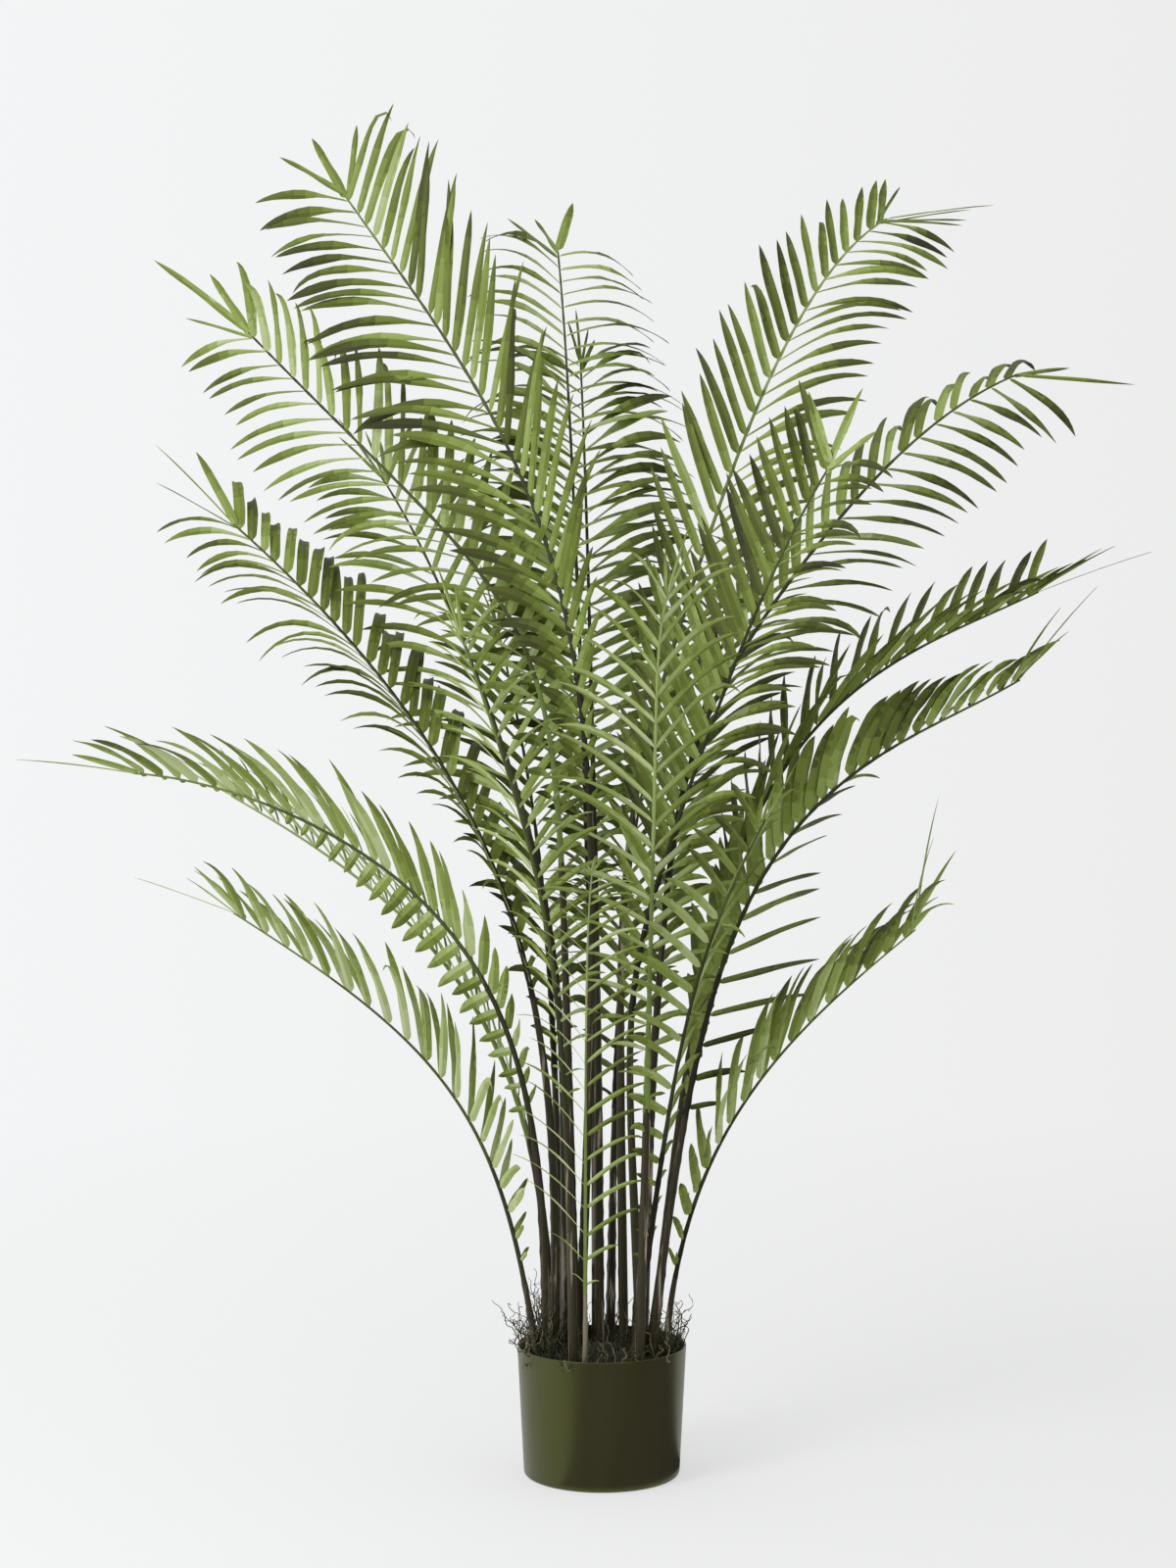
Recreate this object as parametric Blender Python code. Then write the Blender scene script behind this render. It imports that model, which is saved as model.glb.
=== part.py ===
"""Artificial date palm in a round black plastic pot, at its real size, in metres.

The origin is the centre of the pot's flat underside, with +Z up. -Y is the side that is shown to the
viewer. Fronds on separate stems stand in a plug of fill. Each frond is one thin blade, cut to the rib
between its leaflets, and its stem ends just under it.
"""

import math
from collections import namedtuple

import bpy
import numpy as np
from mathutils import Vector
from mathutils.bvhtree import BVHTree

# Gap that touching pieces keep
GAP = 0.0003

# Pot: a thin wall that widens a little towards its rim
POT_HEIGHT = 0.142
RIM_RADIUS = 0.092
FOOT_RADIUS = 0.085
WALL = 0.002
POT_FLOOR = 0.004
FOOT_ROUNDING = 0.004
POT_SIDES = 64

# Fill: a plug up to a little below the rim
FILL_TOP = 0.126
FILL_SIDES = 48

# Stems and ribs: half the thickness at the fill, where the leaflets start, and at the tip
STEM_RADIUS = 0.0055
RIB_RADIUS = 0.0034
TIP_RADIUS = 0.0011
STEM_SIDES = 6
STEM_STEP = 0.07

# Leaflets: pairs stand this far apart on the rib, wider than on a real frond and so fewer
PAIR_SPACING = 0.044
LEAFLET_WIDTH = 0.019
LEAFLET_THICKNESS = 0.0018
LEAFLET_ROOT = 0.007
WIDEST_AT = 0.36
MIN_LEAFLET = 0.018

# Length of the first and of the last leaflets, as shares of the longest, and where they begin to shorten again
SCALE_SHARE = 0.16
LAST_SHARE = 0.7
SHORTER_FROM = 0.65

# Leaflets shorter than this share of a frond's longest are narrower too, and the one at the tip always is
FULL_WIDTH_FROM = 0.6
END_WIDTH_SHARE = 1 / 3

# How strongly a leaflet's far end bends forward, along its rib, and how far the one at the tip sags
CURL = 0.2
END_SAG = 0.12

# A leaflet near another limb is made shorter, step by step, and then left out
SHORTER = (1.0, 0.8, 0.6, 0.42)
CLEARANCE = 0.0012

SPINE_STEPS = 240

# One row a frond, from the highest at the left round to those at the back. x and y are the stem's place
# on the fill in millimetres, heading is the way that it leans (0 is +X, 90 is +Y, away from the viewer),
# length and leafy are the whole frond and its part with leaflets in millimetres. The lean from upright
# goes from foot to tip degrees in one smooth bend, centred at the share "at" of the length and "over" that
# share wide, and droop more degrees come at the very tip. turn_low and turn_high roll the blade about its
# rib, at the first leaflets and at the tip, and rise lifts both rows of leaflets out of its plane.
# out_low and out_high are how far leaflets stand off the rib's own direction, there and at the tip, and sag
# is how strongly their far ends hang. leaflet is the longest leaflet and end the one at the tip, in
# millimetres, which is turned lift degrees from the rib's direction towards the blade's upper face. grown is
# the share of the blade on which the leaflets reach full length, first and second are the lengths of the two
# rows as shares of leaflet, wire is the thickness as a share of the usual one, and taper is how much longer the
# first row's leaflets are at the foot than at the tip, as a share.
Frond = namedtuple(
    "Frond",
    "name x y heading length leafy foot tip at over droop"
    " turn_low turn_high rise out_low out_high sag leaflet end lift grown first second wire taper",
    defaults=(0, 0.4, 1, 1, 1, 0),
)
FRONDS = (
    Frond("top_left", -25, 34, 130, 1470, 880, -4, 52, 0.59, 0.105, -4, -65, -47, 30, 34, 62, 0.6, 165, 100),
    Frond("high_left", -28, 14, 140, 1355, 820, 2, 54, 0.57, 0.052, -2, -30, -68, 30, 52, 55, 1.0, 135, 132),
    Frond("middle_left", -52, 10, 154, 1053, 660, -4, 51, 0.50, 0.16, 4, 10, -28, 20, 44, 46, 1.2, 140, 122),
    Frond("low_left", -60, -8, 172, 887, 620, -1, 69, 0.51, 0.13, 19, 30, -9, 58, 43, 43, 0.4, 128, 135),
    Frond("low_back_left", -55, 26, 158, 776, 540, -3, 68, 0.49, 0.175, 0, 0, 0, 50, 46, 42, 0.5, 128, 110),
    Frond("lowest_left", -69, -20, 188, 618, 520, 7, 58, 0.48, 0.14, 0, -10, 12, 36, 60, 42, 0.4, 136, 115),
    Frond("inner_left", -40, 36, 135, 1050, 640, 0, 28, 0.46, 0.08, 16, -50, -45, 24, 52, 52, 0.9, 130, 100),
    Frond("top_back", -6, 56, 98, 1300, 820, 0, 15, 0.22, 0.05, 20, 30, 18, 16, 59, 71, 1.0, 160, 64),
    Frond("middle_back", -2, 34, 94, 1169, 700, 0, 20, 0.30, 0.15, 15, 0, 0, 20, 56, 60, 0.9, 130, 80),
    Frond("top_right", 24, 40, 48, 1445, 880, -1, 25, 0.40, 0.05, 41, 10, 60, 24, 30, 51, 0.8, 128, 126),
    Frond("high_right", 36, 22, 22, 1260, 780, 4, 36, 0.53, 0.05, 33, -105, -112, 37, 34, 40, 1.1, 145, 130),
    Frond("inner_right", 43, -14, -25, 1011, 640, -3, 20, 0.41, 0.05, 14, 70, 70, 16, 50, 50, 0.7, 142, 100),
    Frond("middle_right", 56, 30, 16, 1030, 640, 6, 97, 0.73, 0.13, -21, -40, 0, 53, 38, 50, 0.3, 124, 124),
    Frond("low_right", 52, -6, 8, 905, 640, 7, 99, 0.73, 0.134, -28, -125, -12, 44, 44, 44, 0.6, 140, 136),
    Frond("lowest_right", 68, -22, -5, 563, 470, -4, 58, 0.44, 0.23, -3, 20, -20, 36, 42, 38, 0.6, 134, 140),
    Frond("lowest_front", -18, -62, 272, 640, 560, 2, 74, 0.74, 0.10, 0, 0, 0, 10, 56, 50, 0.7, 74, 60),
    Frond("tall_front", 40, -52, 286, 842, 560, 5, 72, 0.97, 0.04, -8, 0, 0, 14, 75, 34, 0.8, 130, 90),
    Frond("front_left", -30, -46, 232, 820, 540, 2, 30, 0.60, 0.12, 0, 0, 0, 24, 56, 46, 0.9, 105, 80),
    Frond("front_right", 34, -34, 322, 625, 520, 9, 31, 0.71, 0.12, 3, 0, 0, 24, 64, 56, 0.6, 112, 80),
    Frond("low_back", 10, 68, 82, 820, 560, 5, 70, 0.60, 0.14, 0, 0, 0, 30, 56, 44, 0.8, 128, 110),
    Frond("back_right", 46, 52, 68, 980, 620, 4, 52, 0.62, 0.14, 0, 0, 0, 30, 56, 46, 0.8, 130, 110),
    Frond("back_left", -44, 56, 104, 900, 600, 4, 50, 0.60, 0.14, 0, 0, 0, 30, 56, 46, 0.8, 130, 110),
)

# Sizes of single fronds that differ from the usual
OWN = {
    "low_left": {"grown": 0.55, "second": 0.34},
    "lowest_left": {"wire": 0.8},
    "top_right": {"second": 1.12, "taper": 0.6},
    "high_right": {"first": 1.1},
    "low_right": {"grown": 0.25, "first": 0.85, "second": 0.72, "taper": 1.2},
    "lowest_right": {"lift": 42, "grown": 0.5, "wire": 0.8},
    "lowest_front": {"grown": 0.15, "second": 1.25, "wire": 0.6},
    "front_right": {"grown": 0.75},
}
FRONDS = tuple(frond._replace(**OWN.get(frond.name, {})) for frond in FRONDS)


def smooth(value):
    """0 below 0 and 1 above 1, with a smooth rise between."""
    value = np.clip(value, 0.0, 1.0)
    return value * value * (3.0 - 2.0 * value)


def unit(vectors):
    return vectors / np.linalg.norm(vectors, axis=-1, keepdims=True)


class Spine:
    """The line of a whole frond, from the fill to its tip, in short steps of equal length.

    Its lean follows a logistic curve, so a stem is nearly straight below and above one bend.
    """

    def __init__(self, frond):
        self.length = frond.length / 1000
        self.wire = frond.wire
        self.leaf_start = (frond.length - frond.leafy) / 1000
        share = (np.arange(SPINE_STEPS) + 0.5) / SPINE_STEPS
        bend = 1.0 / (1.0 + np.exp(-(share - frond.at) / frond.over))
        lean = np.radians(frond.foot + (frond.tip - frond.foot) * bend + frond.droop * share**6)
        heading = math.radians(frond.heading)
        along = np.stack(
            [np.sin(lean) * math.cos(heading), np.sin(lean) * math.sin(heading), np.cos(lean)], axis=1
        )
        foot = np.array([[frond.x / 1000, frond.y / 1000, FILL_TOP + GAP]])
        self.points = np.vstack([foot, foot + np.cumsum(along, axis=0) * self.length / SPINE_STEPS])
        self.places = np.linspace(0.0, self.length, SPINE_STEPS + 1)
        leafy = np.clip((share * self.length - self.leaf_start) / (self.length - self.leaf_start), 0, 1)
        turn = np.radians(frond.turn_low + (frond.turn_high - frond.turn_low) * leafy)[:, None]
        level = np.array([-math.sin(heading), math.cos(heading), 0.0])
        upper = np.cross(along, level)
        self.along = along
        self.side = level * np.cos(turn) + upper * np.sin(turn)
        self.upper = upper * np.cos(turn) - level * np.sin(turn)

    def at(self, place):
        """Point, direction, side and upper face of the frond at a distance from the fill."""
        point = np.array([np.interp(place, self.places, self.points[:, axis]) for axis in range(3)])
        index = min(int(place / self.length * SPINE_STEPS), SPINE_STEPS - 1)
        return point, self.along[index], self.side[index], self.upper[index]

    def radius(self, place):
        """Half the thickness, tapering evenly below the leaflets and again along them."""
        below = place / self.leaf_start
        if below < 1.0:
            return self.wire * (STEM_RADIUS + (RIB_RADIUS - STEM_RADIUS) * below)
        above = (place - self.leaf_start) / (self.length - self.leaf_start)
        return self.wire * (RIB_RADIUS + (TIP_RADIUS - RIB_RADIUS) * above)


def leaflet_length(frond, share, hand):
    """Leaflets grow from small scales at the foot to full length, and shorten again to the tip."""
    grown = SCALE_SHARE + (1.0 - SCALE_SHARE) * smooth(share / frond.grown)
    kept = 1.0 - (1.0 - LAST_SHARE) * smooth((share - SHORTER_FROM) / (1.0 - SHORTER_FROM))
    row = frond.first * (1.0 + frond.taper * (0.5 - share)) if hand > 0 else frond.second
    return frond.leaflet / 1000 * row * grown * kept


def leaflet_curve(frond, spine, place, share, hand, length, steps=8):
    """The midline of one leaflet, as points and directions.

    It leaves the rib forward and up from the blade's plane, then its tip bends forward and sags.
    """
    _, along, side, upper = spine.at(place)
    out = math.radians(frond.out_low + (frond.out_high - frond.out_low) * share)
    rise = math.radians(frond.rise)
    outward = hand * side * math.cos(rise) + upper * math.sin(rise)
    start = along * math.cos(out) + outward * math.sin(out)
    share_out = ((np.arange(steps) + 0.5) / steps)[:, None]
    curl = CURL * share_out * along
    sag = frond.sag * share_out**1.5 * np.array([0.0, 0.0, -1.0])
    ways = unit(start + curl + sag)
    points = np.vstack([np.zeros((1, 3)), np.cumsum(ways, axis=0) * length / steps])
    return points, np.vstack([ways, ways[-1:]])


def material(name, color, roughness):
    made = bpy.data.materials.new(name)
    made.use_nodes = True
    shader = made.node_tree.nodes["Principled BSDF"]
    shader.inputs["Base Color"].default_value = (*color, 1.0)
    shader.inputs["Roughness"].default_value = roughness
    shader.inputs["Metallic"].default_value = 0.0
    return made


def add_mesh(name, points, faces, finish, smooth_faces=False):
    mesh = bpy.data.meshes.new(name)
    mesh.from_pydata([tuple(point) for point in points], [], faces)
    mesh.materials.append(finish)
    mesh.polygons.foreach_set("use_smooth", [smooth_faces] * len(mesh.polygons))
    mesh.validate()
    mesh.update()
    made = bpy.data.objects.new(name, mesh)
    bpy.context.scene.collection.objects.link(made)
    return made


def turned(name, profile, sides, finish):
    """A closed body of revolution about Z. The profile runs from the axis round and back to the axis."""
    rings = [point for point in profile if point[0] > 0]
    angles = np.arange(sides) * 2 * math.pi / sides
    points = [(r * math.cos(a), r * math.sin(a), z) for r, z in rings for a in angles]
    start, end = len(points), len(points) + 1
    points += [(0.0, 0.0, profile[0][1]), (0.0, 0.0, profile[-1][1])]
    faces = []
    last = (len(rings) - 1) * sides
    for side in range(sides):
        other = (side + 1) % sides
        faces.append((start, other, side))
        faces.append((end, last + side, last + other))
        for ring in range(len(rings) - 1):
            low, high = ring * sides, (ring + 1) * sides
            faces.append((low + side, low + other, high + other, high + side))
    made = add_mesh(name, points, faces, finish, smooth_faces=True)
    made.data.set_sharp_from_angle(angle=math.radians(35))
    return made


def add_pot(finish):
    """The pot, from the middle of its underside, up the outer wall, over the rim and down inside."""
    slope = (RIM_RADIUS - FOOT_RADIUS) / POT_HEIGHT
    corner = [
        (
            FOOT_RADIUS - FOOT_ROUNDING * (1 - math.sin(math.radians(turn))),
            FOOT_ROUNDING * (1 - math.cos(math.radians(turn))),
        )
        for turn in (0, 30, 60, 90)
    ]
    rim = [
        (RIM_RADIUS, POT_HEIGHT - WALL / 4),
        (RIM_RADIUS - WALL / 4, POT_HEIGHT),
        (RIM_RADIUS - WALL * 3 / 4, POT_HEIGHT),
        (RIM_RADIUS - WALL, POT_HEIGHT - WALL / 4),
    ]
    inside = [(FOOT_RADIUS + slope * POT_FLOOR - WALL, POT_FLOOR)]
    profile = [(0.0, 0.0)] + corner + rim + inside + [(0.0, POT_FLOOR)]
    return turned("pot", profile, POT_SIDES, finish)


def add_fill(finish):
    """The plug of fill, clear of the pot's wall all round, with a flat top that the stems stand on."""
    slope = (RIM_RADIUS - FOOT_RADIUS) / POT_HEIGHT
    low, high = POT_FLOOR + GAP, FILL_TOP

    # The flat sides of both bodies cut inside their circles by this share
    clear = WALL + GAP + RIM_RADIUS * (1 - math.cos(math.pi / FILL_SIDES))
    profile = [
        (0.0, low),
        (FOOT_RADIUS + slope * low - clear, low),
        (FOOT_RADIUS + slope * high - clear, high),
        (0.0, high),
    ]
    return turned("fill", profile, FILL_SIDES, finish)


def tube(spine, start, end, count, sides, turn, level_start):
    """Rings of points round the spine, from start to end, one row of sides points a ring."""
    angles = turn + np.arange(sides) * 2 * math.pi / sides
    rings = []
    for place in np.linspace(start, end, count + 1):
        centre, _, side, upper = spine.at(place)
        out = np.outer(np.cos(angles), side) + np.outer(np.sin(angles), upper)
        if level_start and place == start:
            out[:, 2] = 0.0
        rings.append(centre + spine.radius(place) * out)
    return np.array(rings)


def tube_faces(rings, sides):
    """The faces of a closed tube whose points are numbered ring by ring."""
    faces = [tuple(range(sides))[::-1]]
    for ring in range(rings - 1):
        for side in range(sides):
            other = (side + 1) % sides
            low, high = ring * sides, (ring + 1) * sides
            faces.append((low + side, low + other, high + other, high + side))
    faces.append(tuple((rings - 1) * sides + side for side in range(sides)))
    return faces


def stem_shape(spine):
    """A tapering stem, from its level foot on the fill to just under the first leaflets."""
    end = spine.leaf_start - GAP
    count = max(2, round(end / STEM_STEP))
    rings = tube(spine, 0.0, end, count, STEM_SIDES, 0.0, True)
    return rings.reshape(-1, 3), tube_faces(count + 1, STEM_SIDES)


def pair_places(spine):
    """Where the pairs of leaflets stand on the rib, and their share of the way to its tip."""
    count = round((spine.length - spine.leaf_start) / PAIR_SPACING)
    share = (np.arange(count) + 0.5) / count
    return spine.leaf_start + share * (spine.length - spine.leaf_start), share


def rib_shape(spine):
    """Rings of the four-sided rib: one at its start, two at each pair of leaflets, and one at its tip."""
    places, _ = pair_places(spine)
    stops = [spine.leaf_start]
    for place in places:
        stops += [place - LEAFLET_ROOT / 2, place + LEAFLET_ROOT / 2]
    stops.append(spine.length)
    rings = [tube(spine, stop, stop, 0, 4, math.pi / 4, False)[0] for stop in stops]
    return np.array(rings)


def leaflet_shape(points, ways, along, hand, width, thickness):
    """The widest section of a leaflet, as four corners that go round it, and its tip."""
    place = WIDEST_AT * (len(points) - 1)
    index = int(place)
    centre = points[index] + (points[index + 1] - points[index]) * (place - index)
    way = ways[index]
    across = unit(along - np.dot(along, way) * way) * width / 2
    face = hand * np.cross(across, way) / (width / 2) * thickness / 2
    corners = np.array([-across - face, -across + face, across + face, across - face])
    return centre + (corners if hand > 0 else corners[[1, 0, 3, 2]]), points[-1]


def leaflet_faces(root, middle, tip):
    """The faces of a leaflet that grows out of the four root points."""
    faces = []
    for corner in range(4):
        other = (corner + 1) % 4
        faces.append((root[corner], root[other], middle[other], middle[corner]))
        faces.append((middle[corner], middle[other], tip))
    return faces


def touches(root, middle, tip, others):
    """Whether a leaflet, as a closed body of its own, meets one of the other bodies."""
    points = [Vector(point) for point in (*root, *middle, tip)]
    faces = leaflet_faces((0, 1, 2, 3), (4, 5, 6, 7), 8) + [(3, 2, 1, 0)]
    body = BVHTree.FromPolygons(points, faces)
    return any(body.overlap(other) for other in others)


def frond_shape(frond, spine, rings, others):
    """One closed blade: the rib, with a leaflet drawn out of its side at each place that has room."""
    places, shares = pair_places(spine)
    points = [point for ring in rings for point in ring]
    faces = [(3, 2, 1, 0)]
    for ring in range(len(rings) - 1):
        for side in range(4):
            hand = {3: 1, 1: -1}.get(side)
            root = [ring * 4 + side, ring * 4 + (side + 1) % 4]
            root += [root[1] + 4, root[0] + 4]
            grown = None
            if hand and ring % 2:
                pair = ring // 2
                root_points = np.array([points[index] for index in root])
                grown = grow(frond, spine, places[pair], shares[pair], hand, root_points, others)
            if grown is None:
                faces.append(tuple(root))
                continue
            middle = range(len(points), len(points) + 4)
            points += [*grown[0], grown[1]]
            faces += leaflet_faces(root, middle, middle[-1] + 1)
    end = [(len(rings) - 1) * 4 + side for side in range(4)]
    centre, along, side, upper = spine.at(spine.length)
    lift = math.radians(frond.lift)
    onward = along * math.cos(lift) + upper * math.sin(lift)
    reach = frond.end / 1000
    width = LEAFLET_WIDTH * END_WIDTH_SHARE * side
    thickness = LEAFLET_THICKNESS / 2 * (upper * math.cos(lift) - along * math.sin(lift))
    middle = range(len(points), len(points) + 4)
    widest = centre + onward * reach * WIDEST_AT
    tip = centre + onward * reach - np.array([0.0, 0.0, END_SAG * reach])
    points += [widest + width + thickness, widest - width + thickness]
    points += [widest - width - thickness, widest + width - thickness, tip]
    faces += leaflet_faces(end, middle, middle[-1] + 1)
    return np.array(points), faces


def grow(frond, spine, place, share, hand, root, others):
    """The widest section and tip of the longest leaflet that has room here, or None."""
    whole = leaflet_length(frond, share, hand)
    _, along, _, _ = spine.at(place)
    for part in SHORTER:
        length = whole * part
        if length < MIN_LEAFLET:
            return None
        curve, ways = leaflet_curve(frond, spine, place, share, hand, length)
        curve = curve + root.mean(axis=0)
        width = LEAFLET_WIDTH * min(1.0, length / (FULL_WIDTH_FROM * frond.leaflet / 1000))
        around = leaflet_shape(
            curve, ways, along, hand, width + 2 * CLEARANCE, LEAFLET_THICKNESS + 2 * CLEARANCE
        )
        if not touches(root, *around, others):
            return leaflet_shape(curve, ways, along, hand, width, LEAFLET_THICKNESS)
    return None


def tree_of(points, faces):
    return BVHTree.FromPolygons([Vector(point) for point in points], faces)


def main():
    for old in list(bpy.data.objects):
        bpy.data.objects.remove(old, do_unlink=True)
    plastic = material("black_moulded_plastic", (0.012, 0.013, 0.008), 0.32)
    soil = material("dark_fill", (0.018, 0.014, 0.009), 0.95)
    bark = material("brown_stem", (0.045, 0.035, 0.024), 0.6)
    green = material("palm_green", (0.10, 0.17, 0.045), 0.55)
    bodies = {}
    for base in (add_pot(plastic), add_fill(soil)):
        corners = [vertex.co for vertex in base.data.vertices]
        bodies[base.name, None] = tree_of(corners, [face.vertices for face in base.data.polygons])

    spines = {frond.name: Spine(frond) for frond in FRONDS}
    ribs = {frond.name: rib_shape(spines[frond.name]) for frond in FRONDS}
    for frond in FRONDS:
        points, faces = stem_shape(spines[frond.name])
        add_mesh("stem_" + frond.name, points, faces, bark, smooth_faces=True)
        bodies["stem", frond.name] = tree_of(points, faces)
        rings = ribs[frond.name]
        bodies["rib", frond.name] = tree_of(rings.reshape(-1, 3), tube_faces(len(rings), 4))
    for frond in FRONDS:
        others = [body for (_, name), body in bodies.items() if name != frond.name]
        points, faces = frond_shape(frond, spines[frond.name], ribs[frond.name], others)
        add_mesh("frond_" + frond.name, points, faces, green)
        bodies["frond", frond.name] = tree_of(points, faces)


main()
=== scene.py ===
# %% [markdown]
# # Artificial date palm in a black plastic pot
#
# The plant is a made thing: printed leaflets in pairs on coated wire ribs, with the wires set in a weighted
# plug in a nursery pot and the plug hidden by dry moss. The solid model gives one blade and one stem for
# each frond. This lesson replaces each blade with the leaflets of a real frond, worked out by the same rule
# with numpy, so the crown reaches as far and leaves the same gaps.

import math
from collections import namedtuple

import bpy
import numpy as np
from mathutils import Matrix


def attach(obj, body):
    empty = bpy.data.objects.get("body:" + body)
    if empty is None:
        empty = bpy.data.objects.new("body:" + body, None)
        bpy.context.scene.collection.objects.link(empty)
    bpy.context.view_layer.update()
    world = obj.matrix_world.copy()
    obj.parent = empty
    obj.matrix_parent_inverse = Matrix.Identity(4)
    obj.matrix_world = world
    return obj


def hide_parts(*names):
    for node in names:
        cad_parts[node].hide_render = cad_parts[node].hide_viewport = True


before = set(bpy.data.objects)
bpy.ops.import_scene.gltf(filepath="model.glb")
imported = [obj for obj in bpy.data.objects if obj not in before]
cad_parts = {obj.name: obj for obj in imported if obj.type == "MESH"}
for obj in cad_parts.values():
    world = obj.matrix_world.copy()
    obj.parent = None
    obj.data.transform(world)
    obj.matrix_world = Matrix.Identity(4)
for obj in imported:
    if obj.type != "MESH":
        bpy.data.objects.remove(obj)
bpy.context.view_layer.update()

# %% [markdown]
# ## The camera
#
# The picture was taken from straight in front, a little above half the palm's height, with a long lens.
# The distance follows from how much rounder the pot's foot looks than its rim.

# %% Camera
CAMERA_PLACE = (-0.015, -3.29, 0.906)
CAMERA_TILT = 2.68
CAMERA_LENS = 70.0

camera_data = bpy.data.cameras.new("camera")
camera_data.lens = CAMERA_LENS
camera_data.sensor_width = 36.0
camera = bpy.data.objects.new("camera", camera_data)
camera.location = CAMERA_PLACE
camera.rotation_euler = (math.radians(90.0 - CAMERA_TILT), 0.0, 0.0)
bpy.context.scene.collection.objects.link(camera)
bpy.context.scene.camera = camera
print("camera stands", -CAMERA_PLACE[1], "m in front")

# %% [markdown]
# ## Helpers for meshes and materials
#
# Every piece below is an array of points and a list of faces. A long repeated shape is stacked: the faces of
# one copy are shifted by the number of points in a copy. Colours are read as screen colours, so one function
# turns them to the linear values that a shader wants, and one function adds a node.


# %% Mesh helper
def add_piece(name, points, faces, materials, numbers=None, sharp=35.0, node=None, slot=None):
    """Make an object from points (n, 3) and faces. numbers is each face's place in materials."""
    mesh = bpy.data.meshes.new(name)
    mesh.from_pydata(np.asarray(points).tolist(), [], faces)
    for material in materials:
        mesh.materials.append(material)
    if numbers is not None:
        mesh.polygons.foreach_set("material_index", np.asarray(numbers, dtype=np.int32))
    mesh.polygons.foreach_set("use_smooth", np.ones(len(mesh.polygons), dtype=bool))
    mesh.set_sharp_from_angle(angle=math.radians(sharp))
    mesh.update()
    piece = bpy.data.objects.new(name, mesh)
    bpy.context.scene.collection.objects.link(piece)
    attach(piece, "root")
    if node:
        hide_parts(*node)
    return piece


def repeated(faces, copies, step):
    """The faces of many copies of one shape: copy k has k * step added to every corner."""
    return [[corner + k * step for corner in face] for k in range(copies) for face in faces]


# %% Material helper
def linear(colour):
    """Screen colour as hex to linear: divide by 12.92 when dark, else ((c + 0.055) / 1.055) ** 2.4."""
    parts = [int(colour[i : i + 2], 16) / 255 for i in (1, 3, 5)]
    return tuple(c / 12.92 if c <= 0.04045 else ((c + 0.055) / 1.055) ** 2.4 for c in parts) + (1.0,)


def add_node(tree, kind, links=None, **settings):
    """Add a node. A setting that is a socket's name sets that socket, and links join sockets to it."""
    made = tree.nodes.new(kind)
    for name, value in settings.items():
        if name in made.bl_rna.properties:
            setattr(made, name, value)
        else:
            made.inputs[name.replace("_", " ")].default_value = value
    for name, source in (links or {}).items():
        tree.links.new(source, made.inputs[name])
    return made


def add_material(name, colour, roughness, **sockets):
    """A material of one colour. Returns it with its shader, for nodes to be joined to."""
    made = bpy.data.materials.new(name)
    made.use_nodes = True
    shader = made.node_tree.nodes["Principled BSDF"]
    shader.inputs["Base Color"].default_value = linear(colour)
    shader.inputs["Roughness"].default_value = roughness
    for socket, value in sockets.items():
        shader.inputs[socket.replace("_", " ")].default_value = value
    return made, shader


print("pure white is", linear("#ffffff")[:3])

# %% [markdown]
# ## The pot
#
# A nursery pot is blow-moulded from recycled polypropylene: nearly black, with a slightly brown or olive
# cast, a satin surface and a fine cloudy unevenness from the mould. It is a turned shape, so its profile
# is carried round the axis: out from the middle of the base, up the tapered wall, over the rim and down
# inside. The turned mesh has more sides than the solid, so its edge looks round up close.

# %% Pot shape
POT_HEIGHT = 0.142
RIM_RADIUS = 0.092
FOOT_RADIUS = 0.085
WALL = 0.002
POT_FLOOR = 0.004
FOOT_ROUNDING = 0.004
FILL_TOP = 0.126
GAP = 0.0003


def turned(profile, sides):
    """Points (r cos a, r sin a, z) for each profile point and angle a, closed on the axis at both ends."""
    angle = np.arange(sides) * 2 * math.pi / sides
    rings = np.array([point for point in profile if point[0] > 0])
    radius, height = rings[:, :1], rings[:, 1:]
    grid = np.stack([radius * np.cos(angle), radius * np.sin(angle), height + 0 * angle], axis=2)
    ends = [(0.0, 0.0, profile[0][1]), (0.0, 0.0, profile[-1][1])]
    points = np.vstack([grid.reshape(-1, 3), ends])
    start, end, last = len(points) - 2, len(points) - 1, (len(rings) - 1) * sides
    faces = []
    for side in range(sides):
        other = (side + 1) % sides
        faces += [(start, other, side), (end, last + side, last + other)]
        for low in range(0, last, sides):
            faces.append((low + side, low + other, low + sides + other, low + sides + side))
    return points, faces


def arc(centre, radius, start, end, steps):
    """Profile points on part of a circle, from one angle to another in degrees."""
    turn = np.radians(np.linspace(start, end, steps))
    return [(centre[0] + radius * math.cos(a), centre[1] + radius * math.sin(a)) for a in turn]


LIP = WALL / 2
pot_slope = (RIM_RADIUS - FOOT_RADIUS) / POT_HEIGHT
pot_profile = [(0.0, 0.0)]
pot_profile += arc((FOOT_RADIUS - FOOT_ROUNDING, FOOT_ROUNDING), FOOT_ROUNDING, -90, 0, 8)
pot_profile += arc((RIM_RADIUS - LIP, POT_HEIGHT - LIP), LIP, 0, 180, 9)
pot_profile += [(FOOT_RADIUS + pot_slope * POT_FLOOR - WALL, POT_FLOOR), (0.0, POT_FLOOR)]
print("pot profile has", len(pot_profile), "points")

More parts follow.
